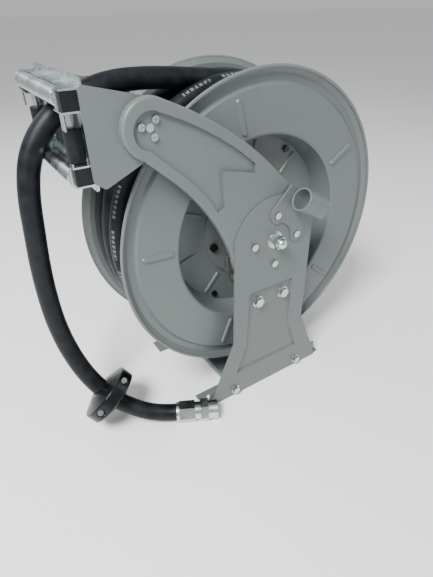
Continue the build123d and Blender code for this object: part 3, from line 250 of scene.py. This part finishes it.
def zinc(name, colour, low, high):
    """Bright zinc plate: cloudy, with fine drawing lines along the reel's width."""
    shader = Shader(name, roughness=0.3, metallic=1.0)
    cloud = shader.noise(scale=45.0, detail=6.0)
    shader.colour(shader.ramp(cloud, (0.3, scaled(colour, 0.86)), (0.7, scaled(colour, 1.1))))
    shader.roughness(shader.spread(cloud, low, high))
    lines = shader.noise(scale=900.0, detail=3.0, stretch=(1, 0.08, 1))
    shader.bump(lines, strength=0.12, distance=0.0002)
    return shader.material


def metal(name, colour, low, high, smear_scale=60.0):
    """Machined or polished metal with faint smears."""
    shader = Shader(name, roughness=low, metallic=1.0)
    smear = shader.noise(smear_scale, detail=5.0)
    shader.colour(shader.ramp(smear, (0.25, scaled(colour, 0.9)), (0.75, scaled(colour, 1.06))))
    shader.roughness(shader.spread(smear, low, high))
    shader.bump(shader.noise(scale=1400.0, detail=2.0), strength=0.06, distance=0.0001)
    return shader.material


def plastic(name, colour, low, high, grain=1100.0):
    """Moulded black plastic or rubber with a fine grain."""
    shader = Shader(name, roughness=low, specular=0.3)
    cloud = shader.noise(scale=70.0, detail=4.0)
    shader.colour(shader.ramp(cloud, (0.3, scaled(colour, 0.7)), (0.7, scaled(colour, 1.2))))
    shader.roughness(shader.spread(cloud, low, high))
    shader.bump(shader.noise(grain, detail=3.0), strength=0.16, distance=0.0003)
    return shader.material


def hose_shader(name):
    """Wrapped black rubber: cloth-marked skin with a dull, slightly dusty sheen."""
    shader = Shader(name, roughness=0.42, specular=0.22)
    dust = shader.noise(scale=55.0, detail=6.0)
    base = shader.ramp(dust, (0.35, HOSE_CLEAN), (0.75, HOSE_DUSTY))
    shader.roughness(shader.spread(dust, low=0.38, high=0.56))
    cloth = shader.noise(scale=1500.0, detail=3.0, stretch=(1, 0.5, 1))
    shader.bump(cloth, strength=0.25, distance=0.0004)
    return shader, base


def plain_hose(name):
    shader, base = hose_shader(name)
    shader.colour(base)
    return shader.material


def printed_hose(name):
    """The wound hose, with a line of worn grey dashes that stand in for its print."""
    shader, base = hose_shader(name)
    split = shader.add("ShaderNodeSeparateXYZ")
    shader.link(shader.add("ShaderNodeUVMap").outputs["UV"], split.inputs["Vector"])
    along, around = split.outputs["X"], split.outputs["Y"]
    dash = shader.math("LESS_THAN", shader.math("FRACT", along), DASH_SHARE)
    groups = shader.math("MULTIPLY", along, GROUPS_PER_DASH)
    group = shader.math("LESS_THAN", shader.math("FRACT", groups), GROUP_SHARE)
    off_line = shader.math("ABSOLUTE", shader.math("SUBTRACT", around, PRINT_V))
    line = shader.math("LESS_THAN", off_line, PRINT_HALF_WIDTH)
    worn = shader.math("GREATER_THAN", shader.noise(scale=520.0, detail=2.0), WORN_BELOW)
    print_mask = shader.product(dash, group, line, worn)
    shader.colour(shader.mix(print_mask, base, PRINT_GREY))
    return shader.material


looks = {
    "frame_paint": paint("frame_paint", PAINT),
    "drum_paint": paint("drum_paint", PAINT),
    "zinc_plate": zinc("zinc_plate", ZINC, low=0.18, high=0.34),
    "steel": metal("steel", STEEL, low=0.28, high=0.46),
    "fastener": metal("fastener", BRIGHT_STEEL, low=0.18, high=0.34),
    "dark_fastener": metal("dark_fastener", DARK_BOLT_STEEL, low=0.34, high=0.50),
    "chrome": metal("chrome", CHROME, low=0.18, high=0.30, smear_scale=35.0),
    "black_nylon": plastic("black_nylon", NYLON, low=0.34, high=0.52),
    "bronze": metal("bronze", BRONZE, low=0.26, high=0.42),
    "hose_rubber": plain_hose("hose_rubber"),
    "stop_rubber": plastic("stop_rubber", STOP_RUBBER, low=0.20, high=0.34, grain=800.0),
}
plain = looks["hose_rubber"]
printed = printed_hose("hose_print")

for entry in frame["record"]["subparts"]:
    mesh = nodes[entry["node"]].data
    mesh.materials.clear()
    mesh.materials.append(looks[entry["material_slot"]])


# ---------------------------------------------------------------- mesh helpers
def add_object(name, data):
    item = bpy.data.objects.new(name, data)
    bpy.context.scene.collection.objects.link(item)
    return item


def mesh_piece(name, vertices, faces, material, uvs=None):
    mesh = bpy.data.meshes.new(name)
    mesh.from_pydata(vertices, [], faces)
    mesh.polygons.foreach_set("use_smooth", [True] * len(mesh.polygons))
    if uvs:
        layer = mesh.uv_layers.new(name="UVMap")
        for loop, value in zip(layer.data, uvs):
            loop.uv = value
    mesh.materials.append(material)
    return add_object(name, mesh)


def tube(points, radius, closed):
    """Vertices, faces and UVs of a tube round the shaft; V is 0.5 on its outer side."""
    count = len(points)
    sides = HOSE_SIDES
    vertices, faces, uvs = [], [], []
    travelled = [0.0]
    for a, b in zip(points, points[1:] + points[:1]):
        travelled.append(travelled[-1] + (b - a).length)
    for i, point in enumerate(points):
        before = points[i - 1] if closed or i else point
        after = points[(i + 1) % count] if closed or i < count - 1 else point
        tangent = (after - before).normalized()
        outward = Vector((point.x, 0, point.z - SHAFT_Z)).normalized()
        outward = (outward - tangent * outward.dot(tangent)).normalized()
        side = tangent.cross(outward)
        for k in range(sides):
            turn = 2 * math.pi * k / sides
            vertices.append(point - (outward * math.cos(turn) + side * math.sin(turn)) * radius)
    for i in range(count if closed else count - 1):
        j = (i + 1) % count
        for k in range(sides):
            n = (k + 1) % sides
            faces.append((i * sides + k, i * sides + n, j * sides + n, j * sides + k))
            u0, u1 = travelled[i] / DASH_PITCH, travelled[i + 1] / DASH_PITCH
            v0, v1 = k / sides, (k + 1) / sides
            uvs += [(u0, v0), (u0, v1), (u1, v1), (u1, v0)]
    if not closed:
        for ring in (range(sides - 1, -1, -1), range((count - 1) * sides, count * sides)):
            faces.append(tuple(ring))
            uvs += [(0.0, 0.0)] * sides
    return vertices, faces, uvs


def on_drum(radius, angle, y):
    return Vector((radius * math.cos(angle), y, SHAFT_Z + radius * math.sin(angle)))


# ------------------------------------------------------------------ wound hose
def wound_turns(name, turns, material):
    """Part of the winding; each turn is (distance from the shaft, Y, hose radius)."""
    vertices, faces, uvs = [], [], []
    for radius, y, hose_radius in turns:
        phase = rng.uniform(0, 2 * math.pi)
        points = []
        for step in range(TURN_STEPS):
            angle = 2 * math.pi * step / TURN_STEPS
            strayed = radius + WANDER * math.sin(WANDER_WAVES * angle + phase)
            points.append(on_drum(strayed, angle, y))
        start = len(vertices)
        more, quads, coords = tube(points, hose_radius, closed=True)
        vertices += more
        faces += [tuple(start + index for index in quad) for quad in quads]
        uvs += coords
    piece = mesh_piece(name, vertices, faces, material, uvs)
    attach(piece, "drum")
    return piece


layer_1 = [(LAYER_1_R, TURN_PITCH * i, HOSE_R) for i in (-1, 0, 1)]
layer_1 += [(SQUEEZED_RADIUS, side * REAR_Y, SQUEEZED_HOSE_R) for side in (-1, 1)]
layer_2 = [(LAYER_2_R, TURN_PITCH * i, HOSE_R) for i in (-1.5, -0.5, 0.5, 1.5)]
first_layer = wound_turns("wound_layer_1", layer_1, plain)
wound_turns("wound_layer_2", layer_2, printed)
wound_turns("wound_layer_3", [(LAYER_3_R, 0.0, HOSE_R)], printed)
wound_turns("wound_rear_turn", [(LAYER_3_R, REAR_Y, HOSE_R)], plain)
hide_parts("hose_winding")

# The last turn starts inside the rear turn, crosses into its own groove on the side
# that the hose leaves towards, and goes on under the drum to the free end at the top.
# It stays with the free end, so the two never part as the drum turns.
LEAVE = math.atan2(STRAND[0][2] - SHAFT_Z, STRAND[0][0])
last_points = []
for step in range(LAST_STEPS + 1):
    angle = LAST_START + (LEAVE - LAST_START) * step / LAST_STEPS
    part = min(1.0, max(0.0, (angle - CROSS_START) / (CROSS_END - CROSS_START)))
    ease = part * part * (3 - 2 * part)
    lift = CROSS_LIFT * math.sin(math.pi * part)
    last_points.append(on_drum(LAYER_3_R + lift, angle, REAR_Y + (GROOVE_Y - REAR_Y) * ease))
vertices, faces, uvs = tube(last_points, HOSE_R, closed=False)
last_turn = mesh_piece("hose_last_turn", vertices, faces, plain, uvs)
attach(last_turn, "frame")

# ------------------------------------------------------------------- free hose
curve = bpy.data.curves.new("free_hose", "CURVE")
curve.dimensions = "3D"
curve.resolution_u = CURVE_RESOLUTION
curve.bevel_depth = HOSE_R
curve.bevel_resolution = BEVEL_RESOLUTION
spline = curve.splines.new("NURBS")
spline.points.add(len(STRAND) - 1)
for point, place in zip(spline.points, STRAND):
    point.co = (*place, 1.0)
spline.order_u = 3
spline.use_endpoint_u = True
curve.materials.append(plain)
free_hose = add_object("free_hose", curve)
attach(free_hose, "frame")
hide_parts("hose_strand")

# ---------------------------------------------------------------- camera, light
level = math.cos(PITCH)
forward = Vector((math.sin(YAW) * level, math.cos(YAW) * level, -math.sin(PITCH)))
right = Vector((math.cos(YAW), -math.sin(YAW), 0))
down = forward.cross(right)
right_rolled = right * math.cos(ROLL) + down * math.sin(ROLL)
down_rolled = down * math.cos(ROLL) - right * math.sin(ROLL)
camera_data = bpy.data.cameras.new("camera")
camera_data.lens = LENS
camera_data.sensor_width = SENSOR_WIDTH
camera_data.clip_start = CLIP_START
camera = add_object("camera", camera_data)
turned = Matrix((right_rolled, -down_rolled, -forward)).transposed()
camera.matrix_world = Matrix.Translation(CAMERA_PLACE) @ turned.to_4x4()
bpy.context.scene.camera = camera


def area_light(name, place, size, power, colour):
    data = bpy.data.lights.new(name, "AREA")
    data.size = size
    data.energy = power
    data.color = colour
    light = add_object(name, data)
    light.location = place
    towards = Vector(LIGHT_TARGET) - Vector(place)
    light.rotation_euler = towards.to_track_quat("-Z", "Y").to_euler()


area_light("key", (-1.3, -0.8, 2.0), size=0.7, power=105.0, colour=KEY_COLOUR)
area_light("side", (1.8, -1.1, 1.2), size=1.2, power=9.0, colour=SIDE_COLOUR)
area_light("back", (-0.9, 1.6, 1.7), size=1.4, power=14.0, colour=BACK_COLOUR)

world = bpy.data.worlds.new("studio")
world.use_nodes = True
background = world.node_tree.nodes["Background"]
background.inputs["Color"].default_value = WORLD_COLOUR
background.inputs["Strength"].default_value = WORLD_STRENGTH
bpy.context.scene.world = world

corners = [(x * FLOOR_HALF, y * FLOOR_HALF, 0) for x, y in ((-1, -1), (1, -1), (1, 1), (-1, 1))]
floor = mesh_piece("floor", corners, [(0, 1, 2, 3)], floor_white())
floor.location.z = -FLOOR_DROP
